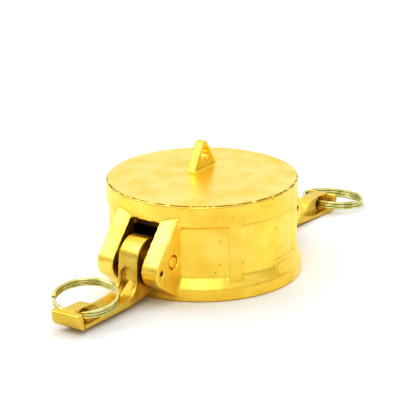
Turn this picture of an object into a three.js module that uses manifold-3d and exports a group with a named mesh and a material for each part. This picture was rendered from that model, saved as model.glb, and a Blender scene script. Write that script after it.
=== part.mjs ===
// Camlock dust cap, 3 inch, forged brass, standing on its mouth with both cam arms swung open.
// Millimetres, +Z up. The origin is the centre of the mouth: the plane z = 0 is the rim it stands on.
// The two cam arms lie along +X and -X, and their pivot pins lie along Y.
import * as THREE from "three";
import { mergeVertices } from "three/addons/utils/BufferGeometryUtils.js";
import Module from "manifold-3d";

const wasm = await Module();
wasm.setup();

// Cap body: a cup with a closed top, from the mouth upwards.
const CAP_HEIGHT = 54;
const FLANGE_R = 54.7;
const FLANGE_TOP = 7.9;
const SHELF_TOP = 13.3;
const PANEL_R = 51.7;
const BAND_R = 53;
const BAND_BOTTOM = 41.8;
const EDGE_ROUND = 1.2;
const BORE_R = 46.15;
const BORE_CHAMFER = 1.2;
const CEILING = 48;
const RECESS_R = 47.6;
const RECESS_BOTTOM = 41.2;

// Ribs and the raised pads between the upper band and the flange, as angles from the nearest arm.
const RIB_ANGLES = [55.5, 111.5];
const RIB_HALF = 3.3;
const RIB_BOTTOM = 9.2;
const PAD_ANGLES = [85.5, 108];
const PAD_TOP = 15.8;
const PAD_TOP_R = 53.3;

// Ears: two at each arm, either side of the slot that the arm's head turns in.
const EAR_IN = 9.6;
const EAR_OUT = 20;
const EAR_ROOT = 46.8;
const EAR_TOP = [51, 45.8];
const EAR_FOOT = [51.6, 3];
const EAR_ROUND = { x: 60.2, z: 20, r: 9.5, from: -57, to: 40 };
const SLOT_BOTTOM = 8.1;
const SLOT_TOP = 39;
const POCKET_TOP = 43.2;
const POCKET_FLOOR = 49.2;

// Pivot pins, and the small holes for a safety clip near the rim of each ear.
const PIN_X = 54.4;
const PIN_Z = 23.6;
const PIN_R = 3.8;
const PIN_HALF = 19.7;
const PIN_EDGE = 0.5;
const PIN_SEAT_R = PIN_R + 0.15;
const CLIP_HOLE = { x: 64.7, z: 20.2, r: 1.45 };

// Chain lug: a triangular tab off the centre of the top.
const LUG_X = 12;
const LUG_Y = 9;
const LUG_HALF_LENGTH = 10.7;
const LUG_HALF_THICK = 2.9;
const LUG_HEIGHT = 15.8;
const LUG_TIP_R = 3.4;
const LUG_HOLE_R = 3.3;
const LUG_HOLE_Z = 8.2;

// Gasket, held in the recess under the closed top.
const GASKET_IN = 38.1;
const GASKET_OUT = 47.2;
const GASKET_LOW = 41.5;
const GASKET_HIGH = 47.7;
const GASKET_EDGE = 0.6;
const GASKET_FACE_R = 45.9;

// Cam arms, in the plane of each arm: x outward from the pin's axis, z up from it, arm open.
const ARM_SHIFT = -0.4;
const HEAD_HALF = 6.1;
const HANDLE_HALF = 7.4;
const LIP_HALF = 9.2;
const BOSS_HALF = 4;
const ARM_HOLE_R = PIN_R + 0.2;
const EYE = { x: 58.6, z: -17.2 };
const EYE_R = 3.4;
const EYE_MOUTH_R = 4.65;
const NECK_POCKET = { low: -14.6, high: -2.8, half: 4.8, depth: 2, front: 14.9 };

// Pull rings: a split ring of flat wire, three layers high.
const RING_R = 17.2;
const RING_WIRE = 2;
const RING_LAYERS = 3;
const RING_LAYER = 1.5;
const RING_GROOVE = 0.22;

// How the loose pieces lie: the arm's lift from its lowest rest, the ring's fold from pointing
// outward, and the ring's skew in its eye, in degrees.
const REST = {
  left: { turn: 180, lift: 2, fold: 168, skew: 22 },
  right: { turn: 0, lift: 0, fold: -6.6, skew: -6 },
};

const ROUND_STEPS = 96;
const HOLE_STEPS = 32;
const rad = THREE.MathUtils.degToRad;

const brass = (color, roughness) =>
  new THREE.MeshStandardMaterial({ color, roughness, metalness: 1 });
const materials = {
  body: brass(0xd9b04a, 0.42),
  arm: brass(0xd2a63e, 0.4),
  pin: brass(0xc9a659, 0.45),
  ring: new THREE.MeshStandardMaterial({ color: 0xc9cbb8, roughness: 0.25, metalness: 1 }),
  gasket: new THREE.MeshStandardMaterial({ color: 0x1b1b1c, roughness: 0.8, metalness: 0 }),
};

// A closed three.js geometry as a manifold solid.
function solid(geometry) {
  const bare = geometry.index ? geometry.toNonIndexed() : geometry.clone();
  bare.deleteAttribute("normal");
  bare.deleteAttribute("uv");
  const merged = mergeVertices(bare, 1e-4);
  const index = merged.index.array;
  const kept = [];
  for (let i = 0; i < index.length; i += 3) {
    const [a, b, c] = [index[i], index[i + 1], index[i + 2]];
    if (a !== b && b !== c && a !== c) kept.push(a, b, c);
  }
  const vertProperties = merged.attributes.position.array;
  const triVerts = new Uint32Array(kept);
  return new wasm.Manifold(new wasm.Mesh({ numProp: 3, vertProperties, triVerts }));
}

// A named mesh of a solid.
function meshOf(made, name, material) {
  const { vertProperties, triVerts } = made.getMesh();
  const geometry = new THREE.BufferGeometry();
  geometry.setAttribute("position", new THREE.BufferAttribute(vertProperties, 3));
  geometry.setIndex(new THREE.BufferAttribute(triVerts, 1));
  geometry.computeVertexNormals();
  const mesh = new THREE.Mesh(geometry, material);
  mesh.name = name;
  return mesh;
}

// A solid of revolution about Z from points [radius, z].
function turned(points, steps = ROUND_STEPS) {
  const profile = points.map(([r, z]) => new THREE.Vector2(r, z));
  const geometry = new THREE.LatheGeometry(profile, steps);
  return solid(geometry.rotateX(Math.PI / 2));
}

// An outline in the XZ plane, made solid between y = low and y = high.
function slab(shape, low, high, curveSegments = 12) {
  const options = { depth: high - low, bevelEnabled: false, curveSegments };
  const geometry = new THREE.ExtrudeGeometry(shape, options);
  return solid(geometry.rotateX(Math.PI / 2).translate(0, high, 0));
}

// An outline in the XY plane, made solid between z = low and z = high.
function plate(shape, low, high, curveSegments = 12) {
  const options = { depth: high - low, bevelEnabled: false, curveSegments };
  return solid(new THREE.ExtrudeGeometry(shape, options).translate(0, 0, low));
}

function block(x, y, z) {
  const geometry = new THREE.BoxGeometry(x[1] - x[0], y[1] - y[0], z[1] - z[0]);
  geometry.translate((x[0] + x[1]) / 2, (y[0] + y[1]) / 2, (z[0] + z[1]) / 2);
  return solid(geometry);
}

// A round bar along Y, centred on y = 0.
function barY(x, z, radius, half, steps = HOLE_STEPS) {
  return solid(new THREE.CylinderGeometry(radius, radius, 2 * half, steps).translate(x, 0, z));
}

function outline(points) {
  return new THREE.Shape(points.map(([x, y]) => new THREE.Vector2(x, y)));
}

// The points of an arc, in degrees.
function arc(cx, cy, r, from, to, steps) {
  return Array.from({ length: steps + 1 }, (_, i) => {
    const angle = rad(from + ((to - from) * i) / steps);
    return [cx + r * Math.cos(angle), cy + r * Math.sin(angle)];
  });
}

// The round outside of the cup: flange, sloped shelf, recessed panel, upper band and flat top.
function cupOutside() {
  return turned([
    [0, 0],
    [FLANGE_R - 0.8, 0],
    [FLANGE_R, 0.8],
    [FLANGE_R, FLANGE_TOP - 0.7],
    [FLANGE_R - 0.5, FLANGE_TOP],
    [PANEL_R + 0.4, SHELF_TOP - 0.6],
    [PANEL_R, SHELF_TOP + 0.4],
    [PANEL_R, BAND_BOTTOM - 1.4],
    [PANEL_R + 0.4, BAND_BOTTOM - 0.4],
    [BAND_R, BAND_BOTTOM],
    ...arc(BAND_R - EDGE_ROUND, CAP_HEIGHT - EDGE_ROUND, EDGE_ROUND, 0, 90, 4),
    [0, CAP_HEIGHT],
  ]);
}

// The bore, its mouth chamfer and the wider recess that holds the gasket.
function cupInside() {
  return turned([
    [0, -1],
    [BORE_R + BORE_CHAMFER + 1, -1],
    [BORE_R, BORE_CHAMFER],
    [BORE_R, RECESS_BOTTOM],
    [RECESS_R, RECESS_BOTTOM],
    [RECESS_R, CEILING],
    [0, CEILING],
  ]);
}

// A vertical rib with a rounded foot, flush with the upper band.
function rib(angle) {
  const foot = arc(0, RIB_BOTTOM + RIB_HALF, RIB_HALF, 180, 360, 8);
  const face = outline([...foot, [RIB_HALF, BAND_BOTTOM + 0.5], [-RIB_HALF, BAND_BOTTOM + 0.5]]);
  const bar = slab(face, -BAND_R - 2, -PANEL_R + 2);
  const drum = turned([[0, 0], [BAND_R, 0], [BAND_R, CAP_HEIGHT - 5], [0, CAP_HEIGHT - 5]]);
  return bar.rotate([0, 0, angle + 90]).intersect(drum);
}

// A stretch of shelf that is raised between two angles.
function pad(from, to) {
  const ring = turned([
    [PANEL_R - 3, FLANGE_TOP - 2],
    [FLANGE_R - 1.5, FLANGE_TOP - 2],
    [FLANGE_R - 0.5, FLANGE_TOP],
    [PAD_TOP_R, PAD_TOP - 0.6],
    [PAD_TOP_R - 0.6, PAD_TOP],
    [PANEL_R - 3, PAD_TOP],
    [PANEL_R - 3, FLANGE_TOP - 2],
  ]);
  const reach = FLANGE_R + 10;
  const wedge = plate(outline([[0, 0], ...arc(0, 0, reach, from, to, 4)]), 0, CAP_HEIGHT);
  return ring.intersect(wedge);
}

// The side view of an ear: straight sloping top, round nose and a sloping underside.
function earOutline() {
  const { x, z, r, from, to } = EAR_ROUND;
  const foot = [EAR_ROOT, EAR_FOOT[1]];
  const top = [EAR_ROOT, EAR_TOP[1]];
  return outline([foot, EAR_FOOT, ...arc(x, z, r, from, to, 10), EAR_TOP, top]);
}

// The pair of ears at the arm on +X.
function earPair() {
  const shape = earOutline();
  return slab(shape, EAR_IN, EAR_OUT).add(slab(shape, -EAR_OUT, -EAR_IN));
}

// What is cut at the arm on +X: the slot through the wall, the pocket above it and the holes.
function earCuts() {
  const across = [-EAR_IN, EAR_IN];
  const slot = block([BORE_R - 8, FLANGE_R + 20], across, [SLOT_BOTTOM, SLOT_TOP]);
  const pocket = block([POCKET_FLOOR, FLANGE_R + 20], across, [SLOT_BOTTOM, POCKET_TOP]);
  const pinHoles = barY(PIN_X, PIN_Z, PIN_SEAT_R, EAR_OUT + 2);
  const clipHoles = barY(CLIP_HOLE.x, CLIP_HOLE.z, CLIP_HOLE.r, EAR_OUT + 2, 16);
  return slot.add(pocket).add(pinHoles).add(clipHoles);
}

// The triangular chain lug, with its hole.
function lug() {
  const tip = LUG_HEIGHT - LUG_TIP_R;
  const lean = Math.atan2(tip, LUG_HALF_LENGTH) - Math.asin(LUG_TIP_R / Math.hypot(tip, LUG_HALF_LENGTH));
  const side = 90 - THREE.MathUtils.radToDeg(lean);
  const round = arc(0, tip, LUG_TIP_R, 90 - side, 90 + side, 10);
  const shape = outline([[-LUG_HALF_LENGTH, -1], [LUG_HALF_LENGTH, -1], [LUG_HALF_LENGTH, 0], ...round,
    [-LUG_HALF_LENGTH, 0]]);
  const tab = slab(shape, -LUG_HALF_THICK, LUG_HALF_THICK);
  const hole = barY(0, LUG_HOLE_Z, LUG_HOLE_R, LUG_HALF_THICK + 1);
  return tab.subtract(hole).translate([LUG_X, LUG_Y, CAP_HEIGHT]);
}

// The forged body: the cup with its ribs, pads, ears and chain lug, all in one piece.
function capBody() {
  let body = cupOutside();
  for (const half of [0, 180]) {
    RIB_ANGLES.forEach((angle) => (body = body.add(rib(half + angle))));
    body = body.add(pad(half + PAD_ANGLES[0], half + PAD_ANGLES[1]));
    body = body.add(earPair().rotate([0, 0, half]));
  }
  body = body.subtract(cupInside());
  for (const half of [0, 180]) body = body.subtract(earCuts().rotate([0, 0, half]));
  return body.add(lug());
}

function gasket() {
  return turned([
    [GASKET_IN, GASKET_LOW + GASKET_EDGE],
    [GASKET_IN + GASKET_EDGE, GASKET_LOW],
    [GASKET_FACE_R, GASKET_LOW],
    [GASKET_OUT, GASKET_LOW + GASKET_OUT - GASKET_FACE_R],
    [GASKET_OUT, GASKET_HIGH],
    [GASKET_IN + GASKET_EDGE, GASKET_HIGH],
    [GASKET_IN, GASKET_HIGH - GASKET_EDGE],
    [GASKET_IN, GASKET_LOW + GASKET_EDGE],
  ], 64);
}

function pivotPin() {
  const profile = [
    [0, -PIN_HALF],
    [PIN_R - PIN_EDGE, -PIN_HALF],
    [PIN_R, -PIN_HALF + PIN_EDGE],
    [PIN_R, PIN_HALF - PIN_EDGE],
    [PIN_R - PIN_EDGE, PIN_HALF],
    [0, PIN_HALF],
  ];
  return turned(profile, HOLE_STEPS).rotate([90, 0, 0]);
}

// The side view of an arm: cam head round the pin, neck down to the knee, flat handle, eye boss
// and the lip at the tip.
function armSide() {
  const shape = new THREE.Shape();
  shape.moveTo(8, -20.7);
  shape.lineTo(57, -23.2);
  shape.lineTo(62, -23.2);
  shape.quadraticCurveTo(63.7, -22.9, 64.4, -21.4);
  shape.lineTo(69.2, -14.8);
  shape.quadraticCurveTo(69.6, -14, 68.7, -13.7);
  shape.lineTo(65, -12.3);
  shape.lineTo(54.5, -12.2);
  shape.quadraticCurveTo(49, -12.3, 46, -15.5);
  shape.quadraticCurveTo(44, -17.9, 40.5, -18.3);
  shape.lineTo(24, -17.4);
  shape.quadraticCurveTo(16.4, -16.9, 15.2, -10);
  shape.lineTo(14.8, 1);
  shape.bezierCurveTo(14.6, 7.8, 9.4, 12.3, 3, 12.3);
  shape.bezierCurveTo(-4, 12.1, -7.7, 6.8, -7.6, 0);
  shape.bezierCurveTo(-7.4, -5, -4.6, -7.2, -1, -8.8);
  shape.quadraticCurveTo(4.4, -11, 4.8, -15.4);
  shape.quadraticCurveTo(5, -20.2, 8, -20.7);
  return shape;
}

// The same arm from above: the head is the narrowest, the lip the widest.
function armPlan() {
  const half = [[-20, HEAD_HALF], [13, HEAD_HALF], [22, HANDLE_HALF], [61, HANDLE_HALF]];
  const tip = [[64.5, LIP_HALF], [68, LIP_HALF], [78, LIP_HALF - 3.4]];
  const upper = [...half, ...tip];
  const lower = upper.map(([x, y]) => [x, -y]).reverse();
  return outline([...upper, ...lower].reverse());
}

// The space beside the eye boss, above the plate, that the ring swings through.
function besideBoss() {
  return outline([[38, -18.3], [47, -20.7], [63.6, -20.9], [67, -10], [38, -10]]);
}

// The eye: a hole along Y that widens towards both ends, so the ring can turn in it.
function eyeHole() {
  const steps = [-1, -0.66, -0.33, 0, 0.33, 0.66, 1];
  const wall = steps.map((s) => [EYE_R + (EYE_MOUTH_R - EYE_R) * s * s, s * (BOSS_HALF + 0.02)]);
  const profile = [[0, -BOSS_HALF - 0.02], ...wall, [0, BOSS_HALF + 0.02]];
  return turned(profile, HOLE_STEPS).rotate([90, 0, 0]).translate([EYE.x, 0, EYE.z]);
}

// The forging recess on the outer face of the neck.
function neckPocket() {
  const { low, high, half, depth, front } = NECK_POCKET;
  const crown = arc(0, high - half, half, 0, 180, 8);
  const face = outline([[-half, low], [half, low], ...crown]);
  return slab(face, -(front + 3), -(front - depth)).rotate([0, 0, 90]);
}

function camArm() {
  const width = slab(armSide(), -LIP_HALF, LIP_HALF, 8);
  let arm = width.intersect(plate(armPlan(), -30, 20));
  arm = arm.subtract(slab(besideBoss(), BOSS_HALF, LIP_HALF + 1));
  arm = arm.subtract(slab(besideBoss(), -LIP_HALF - 1, -BOSS_HALF));
  arm = arm.subtract(eyeHole()).subtract(neckPocket());
  return arm.subtract(barY(0, 0, ARM_HOLE_R, LIP_HALF + 1));
}

// Three flat layers of wire, with a groove where the layers meet.
function pullRing() {
  const [inner, outer] = [RING_R - RING_WIRE / 2, RING_R + RING_WIRE / 2];
  const bottom = (-RING_LAYERS * RING_LAYER) / 2;
  const wallUp = [];
  for (let i = 0; i < RING_LAYERS; i++) {
    const low = bottom + i * RING_LAYER;
    wallUp.push([0, low + RING_GROOVE], [0, low + RING_LAYER - RING_GROOVE]);
    if (i < RING_LAYERS - 1) wallUp.push([RING_GROOVE, low + RING_LAYER]);
  }
  const outside = [[-0.3, bottom], ...wallUp.map(([d, z]) => [-d, z]), [-0.3, -bottom]];
  const inside = [[0.3, -bottom], ...wallUp.reverse(), [0.3, bottom]];
  const profile = [...outside.map(([d, z]) => [outer + d, z]), ...inside.map(([d, z]) => [inner + d, z])];
  return turned([...profile, profile[0]], 64);
}

// One arm with the ring in its eye, as nested groups that turn about the pin and the eye.
function armAssembly(side) {
  const { turn, lift, fold, skew } = REST[side];
  const arm = new THREE.Group();
  const across = side === "left" ? ARM_SHIFT : -ARM_SHIFT;
  arm.position.set(side === "left" ? -PIN_X : PIN_X, across, PIN_Z);
  arm.rotation.set(0, -rad(lift), rad(turn), "ZYX");
  arm.add(meshOf(camArm(), "cam_arm_" + side, materials.arm));
  const eye = new THREE.Group();
  eye.position.set(EYE.x, 0, EYE.z);
  eye.rotation.set(0, -rad(fold), rad(skew), "ZYX");
  const ring = meshOf(pullRing(), "pull_ring_" + side, materials.ring);
  ring.position.x = RING_R;
  eye.add(ring);
  arm.add(eye);
  return arm;
}

const cap = new THREE.Group();
cap.name = "camlock_dust_cap";
cap.add(meshOf(capBody(), "cap_body", materials.body));
cap.add(meshOf(gasket(), "gasket", materials.gasket));
for (const side of ["left", "right"]) {
  const pin = meshOf(pivotPin(), "pivot_pin_" + side, materials.pin);
  pin.position.set(side === "left" ? -PIN_X : PIN_X, 0, PIN_Z);
  cap.add(pin, armAssembly(side));
}

export default cap;
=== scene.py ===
"""Camlock dust cap in forged brass, standing on its mouth with both cam arms swung open.

Every size is in millimetres in the tables below and in metres in the meshes. The frame is the cap's
own: the origin is the centre of the mouth, +Z goes up to the closed top, the arms lie along X.
"""

import math

import bpy
from mathutils import Matrix, Vector


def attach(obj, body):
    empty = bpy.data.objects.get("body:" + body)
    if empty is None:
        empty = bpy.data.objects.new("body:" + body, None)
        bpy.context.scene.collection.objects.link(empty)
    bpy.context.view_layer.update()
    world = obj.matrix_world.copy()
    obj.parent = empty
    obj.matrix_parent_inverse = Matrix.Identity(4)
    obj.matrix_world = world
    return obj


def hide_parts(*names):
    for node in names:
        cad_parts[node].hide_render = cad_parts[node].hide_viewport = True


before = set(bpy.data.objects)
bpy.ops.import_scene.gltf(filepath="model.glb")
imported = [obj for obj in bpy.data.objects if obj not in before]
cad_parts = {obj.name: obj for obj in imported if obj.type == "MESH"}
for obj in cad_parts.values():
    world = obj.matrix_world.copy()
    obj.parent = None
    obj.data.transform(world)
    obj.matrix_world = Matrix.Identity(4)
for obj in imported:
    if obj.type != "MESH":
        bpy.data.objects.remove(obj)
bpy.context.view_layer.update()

bl_info = {
    "name": "Camlock Dust Cap",
    "version": (1, 0, 0),
    "blender": (4, 5, 0),
    "location": "3D View > Sidebar > Dust Cap",
    "description": "Builds a forged brass camlock dust cap with cam arms, pull rings and gasket",
    "category": "Add Mesh",
}

MM = 0.001
TAU = 2 * math.pi
SPIN_STEP = 1.5
SMOOTH_BELOW = 35
BODY_TRIANGLES = 190000
ARM_TRIANGLES = 150000

# ---------------------------------------------------------------- sizes, in millimetres

CAP_HEIGHT = 54
FLANGE_R = 54.7
FLANGE_TOP = 7.9
BAND_R = 53
PANEL_R = 51.7
BAND_BOTTOM = 41.8
BORE_R = 46.15
CEILING = 48
RECESS_R = 47.6
RECESS_BOTTOM = 41.2

# The panels between the ears and the ribs: start and end in degrees from an arm, and the height
# of the floor. Each is cut a little clear of the shelf's slope.
PANELS = [(19, 52, 13.3), (59, 108, 13.3), (115, 161, 13.3)]
PANEL_ROUND = 2.0
PANEL_CLEAR = 0.04
# The raised stretch of the shelf: start and end in degrees from an arm, height of its top.
PAD = (85.5, 110.5, 15.8)
# The shelf's foot as radius and height, and how steeply it climbs inwards from there.
SHELF_FOOT = (54.2, 7.9)
SHELF_SLOPE = 2.16

EAR_IN = 9.6
EAR_OUT = 20
SLOT = (8.1, 39)
POCKET_TOP = 43.2
POCKET_FLOOR = 49.2

PIN_X = 54.4
PIN_Z = 23.6
PIN_R = 3.8
PIN_HALF = 19.7
CLIP_HOLE = (64.7, 20.2, 1.45)

# The gasket's inner and outer radius, its bottom and its top.
GASKET = (38.1, 47.2, 41.5, 47.7)

LUG_AT = (12, 9)
LUG_HALF_THICK = 2.9
LUG_HOLE_R = 3.3
LUG_HOLE_Z = 8.2

ARM_ACROSS = 0.4
HEAD_HALF = 6.1
HANDLE_HALF = 7.4
LIP_HALF = 9.2
BOSS_HALF = 4
EYE = (58.6, -17.2)
EYE_R = 3.4
EYE_FLARE = 1.25
NECK_POCKET_HALF = 4.8
HOLE_ROOM = 0.2

RING_R = 17.2
WIRE_HALF = (0.98, 0.735)
LAYER = 1.5
WIRE_TURNS = 2.86

# Where painted shade darkens the brass in the bore and in the slot, in millimetres: from no shade
# to full shade.
INSIDE_RADIUS = (49, 46.9)
INSIDE_TOP = (48.3, 47.8)
SLOT_RADIUS = (51.5, 49.5)
SLOT_TOP = (44, 43.3)
SLOT_FOOT = (7.6, 8.4)
# The height of the nicked line round the top: where it starts, and where it stops.
RIM_FOOT = (53.2, 53.6)
RIM_TOP = (53.99, 53.85)

# How the loose pieces lie, in degrees: the arm's turn and lift, the ring's fold and skew.
REST = {
    "left": {"turn": 180, "lift": 2, "fold": 168, "skew": 22, "end": -103},
    "right": {"turn": 0, "lift": 0, "fold": -6.6, "skew": -6, "end": -35},
}


# ---------------------------------------------------------------- settings a user would change


class CAP_PG_look(bpy.types.PropertyGroup):
    """Colours and finish of the cap."""

    brass: bpy.props.FloatVectorProperty(
        name="Brass",
        description="Colour of clean forged brass",
        subtype="COLOR",
        size=3,
        min=0,
        max=1,
        default=(0.98, 0.715, 0.145),
    )
    # The tarnish colour also paints shade: in corners, in the bore and in the slot between the
    # ears.
    tarnish_and_shade: bpy.props.FloatVectorProperty(
        name="Tarnish",
        description="Colour of the browned brass in corners and pits",
        subtype="COLOR",
        size=3,
        min=0,
        max=1,
        default=(0.22, 0.09, 0.004),
    )
    steel: bpy.props.FloatVectorProperty(
        name="Ring wire",
        description="Colour of the plated steel wire of the pull rings",
        subtype="COLOR",
        size=3,
        min=0,
        max=1,
        default=(0.78, 0.74, 0.4),
    )
    rubber: bpy.props.FloatVectorProperty(
        name="Gasket",
        description="Colour of the rubber gasket",
        subtype="COLOR",
        size=3,
        min=0,
        max=1,
        default=(0.018, 0.018, 0.019),
    )
    roughness: bpy.props.FloatProperty(
        name="Forged roughness",
        description="Roughness of the forged brass between its marks",
        subtype="FACTOR",
        min=0,
        max=1,
        default=0.34,
    )
    grain: bpy.props.FloatProperty(
        name="Grain depth",
        description="Height of the forged grain",
        subtype="DISTANCE",
        unit="LENGTH",
        min=0,
        max=0.001,
        default=0.00006,
    )


class CAP_PG_mesh(bpy.types.PropertyGroup):
    """How finely the forged pieces are cut, and how much their edges are eased."""

    body_cell: bpy.props.FloatProperty(
        name="Body cell",
        description="Size of the cells that the forged body is rebuilt from",
        subtype="DISTANCE",
        unit="LENGTH",
        min=0.0003,
        max=0.003,
        default=0.0006,
    )
    arm_cell: bpy.props.FloatProperty(
        name="Arm cell",
        description="Size of the cells that each cam arm is rebuilt from",
        subtype="DISTANCE",
        unit="LENGTH",
        min=0.0002,
        max=0.002,
        default=0.00034,
    )
    easing: bpy.props.IntProperty(
        name="Easing",
        description="How many times the forged surface is relaxed to round its edges",
        min=0,
        max=30,
        default=5,
    )


# ---------------------------------------------------------------- mesh helpers


def mm(*values):
    """Millimetres as metres."""
    return tuple(value * MM for value in values)


def only(obj):
    """Makes obj the one selected object, and the active one."""
    bpy.ops.object.select_all(action="DESELECT")
    obj.select_set(True)
    bpy.context.view_layer.objects.active = obj


def arc(cx, cy, r, start, end, steps):
    """Points of an arc, in degrees."""
    angles = [math.radians(start + (end - start) * i / steps) for i in range(steps + 1)]
    return [(cx + r * math.cos(a), cy + r * math.sin(a)) for a in angles]


def bezier(points, steps):
    """Points of one Bezier curve after its first point."""
    made = []
    for i in range(1, steps + 1):
        t = i / steps
        ring = [Vector(p) for p in points]
        while len(ring) > 1:
            ring = [a.lerp(b, t) for a, b in zip(ring, ring[1:])]
        made.append(tuple(ring[0]))
    return made


def chain(name, points):
    """A chain of edges through points, drawn one extrusion at a time and left open in edit mode."""
    bpy.ops.object.select_all(action="DESELECT")
    bpy.ops.mesh.primitive_plane_add(size=MM)
    obj = bpy.context.object
    obj.name = obj.data.name = name
    bpy.ops.object.mode_set(mode="EDIT")
    bpy.ops.mesh.select_all(action="SELECT")
    bpy.ops.mesh.merge(type="CENTER")
    bpy.ops.transform.translate(value=mm(*points[0]))
    for a, b in zip(points, points[1:]):
        step = mm(*[q - p for p, q in zip(a, b)])
        bpy.ops.mesh.extrude_vertices_move(TRANSFORM_OT_translate={"value": step})
    return obj


def close_up():
    """Merges doubles, turns the faces outwards and leaves edit mode."""
    bpy.ops.mesh.select_all(action="SELECT")
    bpy.ops.mesh.remove_doubles(threshold=MM / 500)
    bpy.ops.mesh.normals_make_consistent(inside=False)
    bpy.ops.object.mode_set(mode="OBJECT")


def extruded(name, points, along):
    """A closed outline through 3-D points, extruded by the vector along."""
    obj = chain(name, points)
    bpy.ops.mesh.select_all(action="SELECT")
    bpy.ops.mesh.edge_face_add()
    bpy.ops.mesh.extrude_region_move(TRANSFORM_OT_translate={"value": mm(*along)})
    close_up()
    return obj


def slab(name, outline, low, high):
    """An outline in the XZ plane, made solid between two values of y."""
    return extruded(name, [(x, low, z) for x, z in outline], (0, high - low, 0))


def plate(name, outline, low, high):
    """An outline in the XY plane, made solid between two values of z."""
    return extruded(name, [(x, y, low) for x, y in outline], (0, 0, high - low))


def lathe(name, profile, steps=240):
    """A profile of (radius, height) that starts and ends on the axis, spun about Z."""
    obj = chain(name, [(r, 0, z) for r, z in profile])
    bpy.ops.mesh.select_all(action="SELECT")
    bpy.ops.mesh.spin(steps=steps, angle=TAU, center=(0, 0, 0), axis=(0, 0, 1))
    close_up()
    return obj


def sector(name, profile, start, end):
    """A closed profile of (radius, height), spun about Z from one angle to another, in degrees."""
    obj = chain(name, [(r, 0, z) for r, z in profile])
    bpy.ops.mesh.select_all(action="SELECT")
    bpy.ops.mesh.edge_face_add()
    steps = max(4, round((end - start) / SPIN_STEP))
    bpy.ops.mesh.spin(steps=steps, angle=math.radians(end - start),
                      center=(0, 0, 0), axis=(0, 0, 1))
    close_up()
    # A spin by a positive angle runs clockwise seen from above, so it sets off from the end.
    obj.data.transform(Matrix.Rotation(math.radians(end), 4, "Z"))
    return obj


def bar(name, x, z, radius, half, steps=48):
    """A round bar along Y."""
    return slab(name, arc(x, z, radius, 0, 360 - 360 / steps, steps - 1), -half, half)


def use(obj, kind, **settings):
    """Adds a modifier to obj and applies it."""
    only(obj)
    modifier = obj.modifiers.new(kind.title(), kind)
    for key, value in settings.items():
        setattr(modifier, key, value)
    bpy.ops.object.modifier_apply(modifier=modifier.name)
    return obj


def combine(obj, tool, operation):
    """Joins tool to obj, cuts it from obj, or keeps what both hold, and removes tool."""
    use(obj, "BOOLEAN", operation=operation, object=tool, solver="EXACT")
    bpy.data.objects.remove(tool)
    return obj


def add(obj, tool):
    return combine(obj, tool, "UNION")


def cut(obj, tool):
    return combine(obj, tool, "DIFFERENCE")


def eased(obj, width, segments=3, angle=30):
    """Rounds the sharp edges of a simple solid."""
    use(obj, "BEVEL", width=width * MM, segments=segments, limit_method="ANGLE",
        angle_limit=math.radians(angle))
    return obj


def forged(obj, cell, easing, most):
    """Rebuilds a solid from small cells and relaxes it, as a forging's edges and corners are."""
    use(obj, "REMESH", mode="VOXEL", voxel_size=cell)
    use(obj, "SMOOTH", factor=0.5, iterations=easing)
    triangles = sum(len(p.vertices) - 2 for p in obj.data.polygons)
    if triangles > most:
        use(obj, "DECIMATE", ratio=most / triangles)
    return obj


def copied(obj, name, matrix):
    """A copy of obj with its own mesh, put in place in the mesh."""
    twin = obj.copy()
    twin.data = obj.data.copy()
    twin.name = twin.data.name = name
    bpy.context.scene.collection.objects.link(twin)
    twin.data.transform(matrix)
    return twin


def placed(obj, materials, body, nodes):
    """Gives a finished piece its smooth shading, its materials and its place in the frame."""
    only(obj)
    bpy.ops.object.shade_smooth_by_angle(angle=math.radians(SMOOTH_BELOW))
    obj.data.materials.clear()
    for material in materials:
        obj.data.materials.append(material)
    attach(obj, body)
    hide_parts(*nodes)
    return obj


# ---------------------------------------------------------------- shader helpers


class Value:
    """A shader socket that Python's operators work on."""

    def __init__(self, graph, socket):
        self.graph = graph
        self.socket = socket

    def _math(self, operation, a, b=0.0):
        node = self.graph.node("ShaderNodeMath", {"operation": operation}, {0: a, 1: b})
        return Value(self.graph, node.outputs[0])

    def __add__(self, other):
        return self._math("ADD", self, other)

    def __radd__(self, other):
        return self._math("ADD", other, self)

    def __sub__(self, other):
        return self._math("SUBTRACT", self, other)

    def __rsub__(self, other):
        return self._math("SUBTRACT", other, self)

    def __mul__(self, other):
        return self._math("MULTIPLY", self, other)

    def __rmul__(self, other):
        return self._math("MULTIPLY", other, self)

    def above(self, low, high):
        """0 below low, 1 above high and smooth between, or the other way round if high is lower."""
        settings = {"interpolation_type": "SMOOTHSTEP", "clamp": True}
        reverse = high < low
        low, high = sorted((low, high))
        ends = {3: 1.0, 4: 0.0} if reverse else {3: 0.0, 4: 1.0}
        node = self.graph.node("ShaderNodeMapRange", settings, {0: self, 1: low, 2: high, **ends})
        return Value(self.graph, node.outputs[0])


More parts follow.
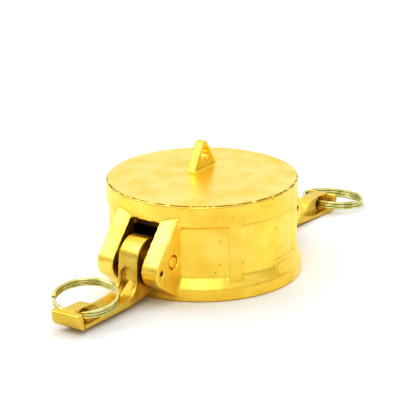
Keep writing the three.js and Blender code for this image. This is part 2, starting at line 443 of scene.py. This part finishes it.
class Graph:
    """A material's or a world's node tree."""

    def __init__(self, owner):
        owner.use_nodes = True
        self.tree = owner.node_tree
        self.tree.nodes.clear()

    def node(self, kind, settings=None, inputs=None):
        """Adds a node, with its settings first and then its sockets."""
        node = self.tree.nodes.new(kind)
        for key, value in (settings or {}).items():
            setattr(node, key, value)
        for key, value in (inputs or {}).items():
            socket = node.inputs[key]
            if isinstance(value, Value):
                self.tree.links.new(value.socket, socket)
            else:
                socket.default_value = value
        return node

    def out(self, node, key=0):
        return Value(self, node.outputs[key])

    def place(self):
        """The piece's own coordinates, in metres."""
        return self.out(self.node("ShaderNodeTexCoord"), "Object")

    def axes(self, vector):
        """The three numbers of a vector."""
        node = self.node("ShaderNodeSeparateXYZ", None, {0: vector})
        return [self.out(node, i) for i in range(3)]

    def noise(self, size, detail=3.0, roughness=0.55):
        """Noise whose features are about size millimetres across."""
        inputs = {"Vector": self.place(), "Scale": 1 / (size * MM), "Detail": detail,
                  "Roughness": roughness}
        return self.out(self.node("ShaderNodeTexNoise", None, inputs))

    def cells(self, size):
        """Distance from the nearest of points scattered about size millimetres apart."""
        inputs = {"Vector": self.place(), "Scale": 1 / (size * MM), "Randomness": 1.0}
        return self.out(self.node("ShaderNodeTexVoronoi", {"feature": "F1"}, inputs))

    def mix(self, factor, a, b):
        """From color a to color b."""
        settings = {"data_type": "RGBA", "clamp_factor": True}
        node = self.node("ShaderNodeMix", settings, {0: factor, 6: a, 7: b})
        return self.out(node, 2)

    def corners(self, distance, open_from=0.85, shut_at=0.35):
        """1 in inner corners and narrow gaps about distance millimetres wide, 0 on open faces."""
        node = self.node("ShaderNodeAmbientOcclusion", {"samples": 8, "only_local": True},
                         {"Distance": distance * MM})
        return self.out(node, "AO").above(open_from, shut_at)

    def bump(self, height, distance):
        """The normal of a surface that height raises by up to distance, in metres."""
        inputs = {"Height": height, "Distance": distance, "Strength": 1.0}
        return self.out(self.node("ShaderNodeBump", None, inputs))

    def finish(self, **inputs):
        """Ends a material in one principled shader."""
        named = {key.replace("_", " "): value for key, value in inputs.items()}
        shader = self.node("ShaderNodeBsdfPrincipled", None, named)
        self.node("ShaderNodeOutputMaterial", None, {"Surface": self.out(shader)})


def rgba(color, gain=1.0):
    """A colour for a socket, lightened or darkened by gain."""
    return (*[min(1.0, channel * gain) for channel in color], 1.0)


def brass_material(name, look, gain, machined=False):
    """Forged or machined brass: mottled, pitted, paler at its edges as wear and painted highlight,
    browned in its corners as tarnish and painted shade, with painted shade in the bore and in the
    body's slot.
    """
    material = bpy.data.materials.new(name)
    graph = Graph(material)
    x, y, z = graph.axes(graph.place())
    mottle = graph.noise(14, 4.0, 0.6).above(0.35, 0.68)
    cloud = graph.noise(38, 2.0).above(0.4, 0.65)
    pit_field = graph.noise(8, 2.0).above(0.6, 0.68)
    pits = (graph.cells(2.4) + graph.noise(0.9) * 0.22).above(0.36, 0.22) * pit_field
    level = graph.out(graph.node("ShaderNodeCombineXYZ", None, {0: x, 1: y}))
    length = graph.node("ShaderNodeVectorMath", {"operation": "LENGTH"}, {0: level})
    radius = graph.out(length, "Value")
    # Painted shade: masks for the inside of the bore and for the slot between the ears.
    inside = radius.above(*mm(*INSIDE_RADIUS)) * z.above(*mm(*INSIDE_TOP))
    between_ears = (y * y).above(98 * MM * MM, 93 * MM * MM)
    slot = (between_ears * radius.above(*mm(*SLOT_RADIUS))
            * z.above(*mm(*SLOT_TOP)) * z.above(*mm(*SLOT_FOOT)))
    red, green, blue = [channel * gain for channel in look.brass]
    clean = (red, green * 1.06, blue * 1.5, 1) if machined else (red, green, blue, 1)
    color = graph.mix(mottle * 0.8, clean, (red * 0.95, green * 0.88, blue * 0.7, 1))
    color = graph.mix(cloud * 0.4, color, (red * 1.04, green * 1.16, blue * 1.9, 1))
    edge = graph.out(graph.node("ShaderNodeNewGeometry"), "Pointiness")
    # Convex edges are painted paler: partly wear, partly painted highlight.
    wear_and_edge_highlight = edge.above(0.52, 0.58)
    # Browning in corners and concave creases is partly tarnish and partly painted shade.
    corner_tarnish_and_shade = graph.corners(3.0, 0.92, 0.4) + edge.above(0.485, 0.44) * 0.6
    color = graph.mix(wear_and_edge_highlight * 0.5, color, (1.0, min(1.0, green * 1.3), blue * 2.4, 1))
    color = graph.mix(corner_tarnish_and_shade * 0.6, color, rgba(look.tarnish_and_shade))
    # Painted shade darkens the inside of the bore.
    color = graph.mix(inside * 0.7, color, rgba(look.tarnish_and_shade, 0.5))
    # Painted shade darkens the slot between the ears nearly to black.
    if name == "forged_body":
        color = graph.mix(slot * 0.93, color, rgba(look.tarnish_and_shade, 0.15))
    color = graph.mix(pits * 0.75, color, rgba(look.tarnish_and_shade))
    grain = graph.noise(0.55, 3.0, 0.65)
    dents = graph.noise(4.5, 2.0, 0.5)
    if machined:
        lines = graph.out(graph.node("ShaderNodeTexNoise", {"noise_dimensions": "1D"},
                                     {"W": radius, "Scale": 1 / (0.5 * MM), "Detail": 2.0}))
        height = lines * 0.35 + grain * 0.25 + dents * 1.2 + graph.noise(16, 1.0) * 5
        rough = mottle * 0.1 + lines * 0.05 + (look.roughness - 0.09)
        distance = look.grain * 0.55
        rim = z.above(*mm(*RIM_FOOT)) * z.above(*mm(*RIM_TOP))
        nicks = graph.noise(2.6, 3.0, 0.7).above(0.38, 0.54)
        color = graph.mix(rim * nicks * 0.9, color, rgba(look.tarnish_and_shade, 0.9))
    else:
        height = grain * 0.5 + dents * 4.5 + graph.noise(11, 1.0) * 6 - pits * 1.5
        rough = mottle * 0.12 + grain * 0.1 + corner_tarnish_and_shade * 0.15 + (look.roughness - 0.08)
        distance = look.grain
    graph.finish(Base_Color=color, Metallic=1.0, Roughness=rough,
                 Normal=graph.bump(height, distance))
    return material


def wire_material(look):
    """Bright plated wire, with fine lines along it and yellowish plating."""
    material = bpy.data.materials.new("plated_wire")
    graph = Graph(material)
    patches = graph.noise(5, 3.0, 0.6).above(0.38, 0.62)
    olive = rgba([look.steel[0] * 0.66, look.steel[1] * 0.66, look.steel[2] * 0.36])
    color = graph.mix(patches * 0.8, rgba(look.steel), olive)
    # Painted shade darkens the narrow gaps between the layers of wire.
    color = graph.mix(graph.corners(0.5, 0.9, 0.5) * 0.9, color, (0.05, 0.055, 0.01, 1))
    scratches = graph.noise(0.35, 4.0, 0.7)
    graph.finish(Base_Color=color, Metallic=1.0,
                 Roughness=patches * 0.08 + scratches * 0.1 + 0.08,
                 Normal=graph.bump(scratches, 0.018 * MM))
    return material


def rubber_material(look):
    """Matt moulded rubber with a little bloom."""
    material = bpy.data.materials.new("moulded_rubber")
    graph = Graph(material)
    bloom = graph.noise(7, 4.0, 0.6).above(0.45, 0.7)
    color = graph.mix(bloom * 0.4, rgba(look.rubber), rgba(look.rubber, 3.0))
    grain = graph.noise(0.4, 2.0)
    graph.finish(Base_Color=color, Roughness=bloom * 0.12 + 0.62,
                 Normal=graph.bump(grain, 0.03 * MM))
    return material


def material(name):
    """A finish by name, made the first time that it is asked for."""
    look = bpy.context.scene.cap_look
    makers = {
        "forged_body": lambda: brass_material("forged_body", look, 1.0),
        "machined_top": lambda: brass_material("machined_top", look, 1.0, machined=True),
        "forged_arm": lambda: brass_material("forged_arm", look, 0.8),
        "turned_pin": lambda: brass_material("turned_pin", look, 0.98),
        "plated_wire": lambda: wire_material(look),
        "moulded_rubber": lambda: rubber_material(look),
    }
    return bpy.data.materials.get(name) or makers[name]()


# ---------------------------------------------------------------- the forged body


def cup():
    """The cup: flange, shelf, band and top outside; bore, gasket recess and ceiling inside."""
    outside = [
        (0, CAP_HEIGHT),
        *arc(BAND_R - 1.1, CAP_HEIGHT - 1.1, 1.1, 90, 0, 6),
        (BAND_R, SHELF_FOOT[1] + (SHELF_FOOT[0] - BAND_R) * SHELF_SLOPE),
        SHELF_FOOT,
        *arc(FLANGE_R - 0.9, FLANGE_TOP - 1.2, 0.9, 60, 0, 3),
        *arc(FLANGE_R - 0.9, 0.9, 0.9, 0, -90, 3),
    ]
    inside = [
        (BORE_R + 1.2, 0),
        (BORE_R, 1.2),
        (BORE_R, RECESS_BOTTOM),
        (RECESS_R, RECESS_BOTTOM),
        (RECESS_R, CEILING),
        (0, CEILING),
    ]
    return lathe("cap", outside + inside)


def panel(start, end, floor):
    """The tool that cuts one recessed panel, with its corners rounded."""
    foot = floor - (SHELF_FOOT[0] - PANEL_R) * SHELF_SLOPE + PANEL_CLEAR
    tool = sector("panel", [(PANEL_R, floor + PANEL_CLEAR), (SHELF_FOOT[0], foot), (60, foot),
                            (60, BAND_BOTTOM), (PANEL_R, BAND_BOTTOM)], start, end)
    return eased(tool, PANEL_ROUND, segments=4, angle=40)


def pad(start, end, top):
    """A stretch of the shelf that is raised between two angles, in degrees."""
    profile = [(PANEL_R - 3, FLANGE_TOP - 2), (FLANGE_R - 1.5, FLANGE_TOP - 2),
               (FLANGE_R - 0.55, FLANGE_TOP - 0.05), (PANEL_R + 1.6, top - 0.6),
               (PANEL_R + 1, top), (PANEL_R - 3, top)]
    return eased(sector("pad", profile, start, end), 0.5, 2, 50)


def ear_outline():
    """The side view of an ear, x outward from the cap's axis."""
    nose = arc(60.2, 20, 9.5, -57, 40, 24)
    return [(48.5, 3), (51.6, 3), *nose, (51, 45.8), (48.5, 45.8)]


def body_sides(body):
    """Adds both ears and cuts the slot, its shallow upper pocket and the holes, on each side."""
    far = FLANGE_R + 20
    slot = [(BORE_R - 8, SLOT[0]), (far, SLOT[0]), (far, POCKET_TOP), (POCKET_FLOOR, POCKET_TOP),
            (POCKET_FLOOR, SLOT[1]), (BORE_R - 8, SLOT[1])]
    for half in (0, math.pi):
        turn = Matrix.Rotation(half, 4, "Z")
        tools = [
            (add, slab("ear", ear_outline(), -EAR_OUT, -EAR_IN + 0.05)),
            (add, slab("ear", ear_outline(), EAR_IN - 0.05, EAR_OUT)),
            (cut, slab("slot", slot, -EAR_IN, EAR_IN)),
            (cut, bar("pin_hole", PIN_X, PIN_Z, PIN_R + HOLE_ROOM, EAR_OUT + 2)),
            (cut, bar("clip_hole", *CLIP_HOLE, EAR_OUT + 2, 24)),
        ]
        for operation, tool in tools:
            tool.data.transform(turn)
            operation(body, tool)


def lug():
    """The triangular chain lug, with its hole."""
    side = [(-10.7, -2), (10.7, -2), (10.7, 0), *arc(0, 12.4, 3.4, 34, 146, 14), (-10.7, 0)]
    tab = slab("lug", side, -LUG_HALF_THICK, LUG_HALF_THICK)
    cut(tab, bar("hole", 0, LUG_HOLE_Z, LUG_HOLE_R, LUG_HALF_THICK + 1))
    tab.data.transform(Matrix.Translation(mm(*LUG_AT, CAP_HEIGHT)))
    return tab


class CAP_OT_body(bpy.types.Operator):
    """Builds the forged cap body"""

    bl_idname = "cap.body"
    bl_label = "Cap Body"

    def execute(self, context):
        mesh = context.scene.cap_mesh
        body = cup()
        for half in (0, 180):
            for start, end, floor in PANELS:
                cut(body, panel(half + start, half + end, floor))
            add(body, pad(half + PAD[0], half + PAD[1], PAD[2]))
        body_sides(body)
        add(body, lug())
        forged(body, mesh.body_cell, mesh.easing, BODY_TRIANGLES)
        body.name = body.data.name = "forged_body"
        placed(body, [material("forged_body"), material("machined_top")],
               "cap", ["cap_body"])
        for face in body.data.polygons:
            high = face.center.z > (CAP_HEIGHT - 0.75) * MM
            if high and face.center.z < (CAP_HEIGHT + 0.15) * MM:
                face.material_index = 1
        return {"FINISHED"}


# ---------------------------------------------------------------- pins and gasket


class CAP_OT_pins(bpy.types.Operator):
    """Builds the two pivot pins"""

    bl_idname = "cap.pins"
    bl_label = "Pivot Pins"

    def execute(self, context):
        end = [(0, PIN_HALF + 0.15), (PIN_R - 1.3, PIN_HALF + 0.1), (PIN_R - 0.9, PIN_HALF - 0.05),
               (PIN_R - 0.45, PIN_HALF - 1.1), (PIN_R - 0.05, PIN_HALF - 1.3)]
        profile = end + [(r, -z) for r, z in reversed(end)]
        pin = lathe("pin", profile, 64)
        pin.data.transform(Matrix.Rotation(math.pi / 2, 4, "X"))
        for side, x in (("left", -PIN_X), ("right", PIN_X)):
            twin = copied(pin, f"turned_pin_{side}", Matrix.Translation(mm(x, 0, PIN_Z)))
            placed(twin, [material("turned_pin")], "cap", [f"pivot_pin_{side}"])
        bpy.data.objects.remove(pin)
        return {"FINISHED"}


class CAP_OT_gasket(bpy.types.Operator):
    """Builds the gasket under the closed top"""

    bl_idname = "cap.gasket"
    bl_label = "Gasket"

    def execute(self, context):
        inner, outer, low, high = GASKET
        lip, corner = 0.9, 0.4
        section = [
            *arc(inner + lip, low + lip, lip, 270, 180, 4),
            *arc(inner + lip, high - lip, lip, 180, 90, 4),
            *arc(outer - corner, high - corner, corner, 90, 0, 3),
            *arc(outer - corner, low + corner, corner, 0, -90, 3),
        ]
        gasket = chain("gasket_ring", [(r, 0, z) for r, z in section + section[:1]])
        bpy.ops.mesh.select_all(action="SELECT")
        bpy.ops.mesh.spin(steps=160, angle=TAU, center=(0, 0, 0), axis=(0, 0, 1))
        close_up()
        placed(gasket, [material("moulded_rubber")], "cap", ["gasket"])
        return {"FINISHED"}


# ---------------------------------------------------------------- cam arms


def arm_outline():
    """The side view of an arm, x outward from the pin's axis and z up from it."""
    return [
        (8, -20.7), (57, -23.2), (61.5, -23.2),
        *bezier([(61.5, -23.2), (66.4, -23.2), (68.9, -19.2), (69.3, -14.8)], 12),
        *bezier([(69.3, -14.8), (69.4, -14), (68.7, -13.7)], 4), (65, -12.3), (54.5, -12.2),
        *bezier([(54.5, -12.2), (49, -12.3), (46, -15.5)], 8),
        *bezier([(46, -15.5), (44, -17.9), (40.5, -18.3)], 6), (24, -17.4),
        *bezier([(24, -17.4), (16.4, -16.9), (15.2, -10)], 10), (14.8, 1),
        *bezier([(14.8, 1), (14.6, 7.8), (9.4, 12.3), (3, 12.3)], 12),
        *bezier([(3, 12.3), (-4, 12.1), (-7.7, 6.8), (-7.6, 0)], 12),
        *bezier([(-7.6, 0), (-7.4, -5), (-4.6, -7.2), (-1, -8.8)], 8),
        *bezier([(-1, -8.8), (4.4, -11), (4.8, -15.4)], 8),
        *bezier([(4.8, -15.4), (5, -20.2), (8, -20.7)], 6)[:-1],
    ]


def arm_plan():
    """The same arm from above: the head is the narrowest, the lip the widest."""
    upper = [(-20, HEAD_HALF), (13, HEAD_HALF), (22, HANDLE_HALF), (61, HANDLE_HALF),
             (64.5, LIP_HALF), (68, LIP_HALF), (78, LIP_HALF - 3.4)]
    return upper + [(x, -y) for x, y in reversed(upper)]


def arm_shape():
    """One cam arm, in its own frame."""
    arm = slab("arm", arm_outline(), -LIP_HALF, LIP_HALF)
    combine(arm, plate("plan", arm_plan(), -30, 20), "INTERSECT")
    scoop = [(38, -18.3), (47, -20.7), (63.6, -20.9), (67, -10), (38, -10)]
    for side in (-1, 1):
        low, high = sorted((side * BOSS_HALF, side * (LIP_HALF + 1)))
        cut(arm, slab("scoop", scoop, low, high))
    waist = [(EYE_R + EYE_FLARE * (y / BOSS_HALF) ** 2, y)
             for y in range(BOSS_HALF, -BOSS_HALF - 1, -1)]
    eye = lathe("eye", [(0, BOSS_HALF + 0.02), *waist, (0, -BOSS_HALF - 0.02)], 48)
    eye.data.transform(Matrix.Translation(mm(EYE[0], 0, EYE[1]))
                       @ Matrix.Rotation(math.pi / 2, 4, "X"))
    cut(arm, eye)
    half = NECK_POCKET_HALF
    recess = [(-half, -20), (half, -20), *arc(0, -7.6, half, 0, 180, 20)]
    pocket = extruded("recess", [(20, y, z) for y, z in recess], (-7.2, 0, 0))
    above_floor = [(10, -11), (13, -13.2), (20, -17.6), (24, -2), (10, -2)]
    combine(pocket, slab("floor", above_floor, -9, 9), "INTERSECT")
    cut(arm, eased(pocket, 0.7, 3, 50))
    gable = [(10.5, -4.7, -11.9), (10.5, 0, -8), (10.5, 4.7, -11.9)]
    add(arm, extruded("ridge", gable, (11.5, 0, -9.3)))
    cut(arm, bar("pin_hole", 0, 0, PIN_R + HOLE_ROOM, LIP_HALF + 1))
    return arm


def arm_matrix(side):
    """Where an arm lies."""
    rest = REST[side]
    x = -PIN_X if side == "left" else PIN_X
    y = -ARM_ACROSS if side == "left" else ARM_ACROSS
    return (Matrix.Translation(mm(x, y, PIN_Z))
            @ Matrix.Rotation(math.radians(rest["turn"]), 4, "Z")
            @ Matrix.Rotation(-math.radians(rest["lift"]), 4, "Y"))


class CAP_OT_arms(bpy.types.Operator):
    """Builds the two cam arms"""

    bl_idname = "cap.arms"
    bl_label = "Cam Arms"

    def execute(self, context):
        mesh = context.scene.cap_mesh
        arm = forged(arm_shape(), mesh.arm_cell, mesh.easing, ARM_TRIANGLES)
        for side in ("left", "right"):
            twin = copied(arm, f"forged_arm_{side}", arm_matrix(side))
            placed(twin, [material("forged_arm")], f"{side}_arm", [f"cam_arm_{side}"])
        bpy.data.objects.remove(arm)
        return {"FINISHED"}


# ---------------------------------------------------------------- pull rings


def split_ring():
    """Nearly three turns of wire that step up a layer at each turn, cut at the top and bottom."""
    wide, thick = WIRE_HALF
    squareness = 0.6
    section = []
    for i in range(16):
        c, s = math.cos(TAU * i / 16), math.sin(TAU * i / 16)
        section.append((wide * math.copysign(abs(c) ** squareness, c),
                        thick * math.copysign(abs(s) ** squareness, s)))
    ring = chain("ring", [(RING_R + x, 0, z) for x, z in section])
    bpy.ops.mesh.select_all(action="SELECT")
    bpy.ops.mesh.edge_face_add()
    bpy.ops.object.mode_set(mode="OBJECT")
    pitch = 4 * LAYER
    use(ring, "SCREW", angle=TAU * WIRE_TURNS, screw_offset=pitch * WIRE_TURNS * MM, steps=320,
        render_steps=320, axis="Z", use_merge_vertices=False)
    # The loose coil is closed up: each turn lies flat, and the wire steps up at turns 1 and 2.
    for vertex in ring.data.vertices:
        x, y, z = vertex.co / MM
        around = math.atan2(y, x) / TAU
        t = around + round(z / pitch - around)
        steps = [min(1, max(0, (t - k) / 0.12 + 0.5)) for k in (1, 2)]
        layer = sum(step * step * (3 - 2 * step) for step in steps) - 1
        vertex.co.z = (z - pitch * t + LAYER * layer) * MM
    only(ring)
    bpy.ops.object.mode_set(mode="EDIT")
    bpy.ops.mesh.select_all(action="SELECT")
    bpy.ops.mesh.fill_holes(sides=0)
    close_up()
    return ring


class CAP_OT_rings(bpy.types.Operator):
    """Builds the two split pull rings"""

    bl_idname = "cap.rings"
    bl_label = "Pull Rings"

    def execute(self, context):
        ring = split_ring()
        for side in ("left", "right"):
            rest = REST[side]
            matrix = (arm_matrix(side) @ Matrix.Translation(mm(EYE[0], 0, EYE[1]))
                      @ Matrix.Rotation(math.radians(rest["skew"]), 4, "Z")
                      @ Matrix.Rotation(-math.radians(rest["fold"]), 4, "Y")
                      @ Matrix.Translation(mm(RING_R, 0, 0))
                      @ Matrix.Rotation(math.radians(rest["end"]), 4, "Z"))
            twin = copied(ring, f"split_ring_{side}", matrix)
            placed(twin, [material("plated_wire")], f"{side}_ring", [f"pull_ring_{side}"])
        bpy.data.objects.remove(ring)
        return {"FINISHED"}


# ---------------------------------------------------------------- stage

# Each lamp's name, place and width in metres, and power in watts.
LAMPS = (
    ("key", (-0.42, 0.48, 0.6), 0.45, 1.6),
    ("softbox", (-0.62, -0.42, 0.5), 0.46, 1.0),
)
# The tones that are deepened on the way to the screen: before and after.
TONES = ((0.06, 0.022), (0.22, 0.14), (0.55, 0.5))
# The direction towards the back of the scene, away from the camera.
BACK = (0.81, 0.58)
CAMERA = {"distance": 1.5, "azimuth": 305.9, "elevation": 19.3, "roll": -0.63, "lens": 232.0,
          "target": (0, 0, 0.025), "shift": (0.0176, 0.0365)}


class CAP_OT_stage(bpy.types.Operator):
    """Sets the floor, the soft light and the camera"""

    bl_idname = "cap.stage"
    bl_label = "Stage"

    def execute(self, context):
        scene = context.scene
        bpy.ops.object.select_all(action="DESELECT")
        bpy.ops.mesh.primitive_grid_add(x_subdivisions=8, y_subdivisions=8, size=12)
        floor = context.object
        floor.name = "floor"
        paper = bpy.data.materials.new("floor_paper")
        graph = Graph(paper)
        away = graph.node("ShaderNodeVectorMath", {"operation": "NORMALIZE"}, {0: graph.place()})
        x, y, _ = graph.axes(graph.out(away))
        # Painted shade: the floor is darker towards the camera, so the brass reflects less light
        # from that side.
        front = (x * -BACK[0] + y * -BACK[1]).above(0.35, 0.9)
        tone = graph.mix(graph.noise(60, 2.0), rgba((0.91, 0.91, 0.91)), rgba((0.93, 0.93, 0.93)))
        tone = graph.mix(front, tone, rgba((0.77, 0.77, 0.77)))
        graph.finish(Base_Color=tone, Roughness=0.9, Specular_IOR_Level=0.1)
        floor.data.materials.append(paper)
        self.light(scene)
        self.camera(scene)
        return {"FINISHED"}

    def light(self, scene):
        """A pale sky, dimmer near the horizon in front, and two soft lamps."""
        world = bpy.data.worlds.new("studio")
        scene.world = world
        graph = Graph(world)
        direction = graph.out(graph.node("ShaderNodeTexCoord"), "Generated")
        x, y, z = graph.axes(direction)
        behind = (x * BACK[0] + y * BACK[1]).above(0.25, 0.7)
        low = z.above(0.42, 0.08)
        strength = 1.1 - (1 - behind) * low * 0.78 + z.above(0.5, 0.95) * 0.3
        background = graph.node("ShaderNodeBackground", None,
                                {"Color": (1, 1, 1, 1), "Strength": strength})
        graph.node("ShaderNodeOutputWorld", None, {"Surface": graph.out(background)})
        for name, place, size, power in LAMPS:
            bpy.ops.object.light_add(type="AREA", location=place)
            lamp = bpy.context.object
            lamp.name = name
            lamp.data.size = size
            lamp.data.energy = power
            lamp.rotation_euler = (-Vector(place)).to_track_quat("-Z", "Y").to_euler()

    def camera(self, scene):
        """A long lens on the cap, and the tones of the picture."""
        data = bpy.data.cameras.new("camera")
        camera = bpy.data.objects.new("camera", data)
        scene.collection.objects.link(camera)
        a, e = math.radians(CAMERA["azimuth"]), math.radians(CAMERA["elevation"])
        back = Vector((math.sin(a) * math.cos(e), -math.cos(a) * math.cos(e), math.sin(e)))
        camera.location = Vector(CAMERA["target"]) + back * CAMERA["distance"]
        look = (-back).to_track_quat("-Z", "Y").to_matrix().to_4x4()
        roll = Matrix.Rotation(math.radians(CAMERA["roll"]), 4, "Z")
        camera.rotation_euler = (look @ roll).to_euler()
        data.lens = CAMERA["lens"]
        data.shift_x, data.shift_y = CAMERA["shift"]
        data.clip_start, data.clip_end = 0.01, 50
        scene.camera = camera
        view = scene.view_settings
        view.view_transform = "Standard"
        view.use_curve_mapping = True
        curve = view.curve_mapping.curves[3]
        for tone, seen in TONES:
            curve.points.new(tone, seen)
        view.curve_mapping.update()


# ---------------------------------------------------------------- panel and running


class CAP_PT_panel(bpy.types.Panel):
    """Lists the dust cap's pieces and settings"""

    bl_idname = "CAP_PT_panel"
    bl_label = "Dust Cap"
    bl_space_type = "VIEW_3D"
    bl_region_type = "UI"
    bl_category = "Dust Cap"

    def draw(self, context):
        column = self.layout.column()
        for group in (context.scene.cap_look, context.scene.cap_mesh):
            for name in group.__annotations__:
                column.prop(group, name)
        for operator in OPERATORS:
            column.operator(operator.bl_idname)


GROUPS = (CAP_PG_look, CAP_PG_mesh)
OPERATORS = (CAP_OT_stage, CAP_OT_body, CAP_OT_pins, CAP_OT_gasket, CAP_OT_arms, CAP_OT_rings)


def register():
    for cls in (*GROUPS, *OPERATORS, CAP_PT_panel):
        bpy.utils.register_class(cls)
    bpy.types.Scene.cap_look = bpy.props.PointerProperty(type=CAP_PG_look)
    bpy.types.Scene.cap_mesh = bpy.props.PointerProperty(type=CAP_PG_mesh)


def unregister():
    del bpy.types.Scene.cap_mesh
    del bpy.types.Scene.cap_look
    for cls in reversed((*GROUPS, *OPERATORS, CAP_PT_panel)):
        bpy.utils.unregister_class(cls)


def main():
    register()
    bpy.ops.cap.stage()
    bpy.ops.cap.body()
    bpy.ops.cap.pins()
    bpy.ops.cap.gasket()
    bpy.ops.cap.arms()
    bpy.ops.cap.rings()


if __name__ == "__main__":
    main()
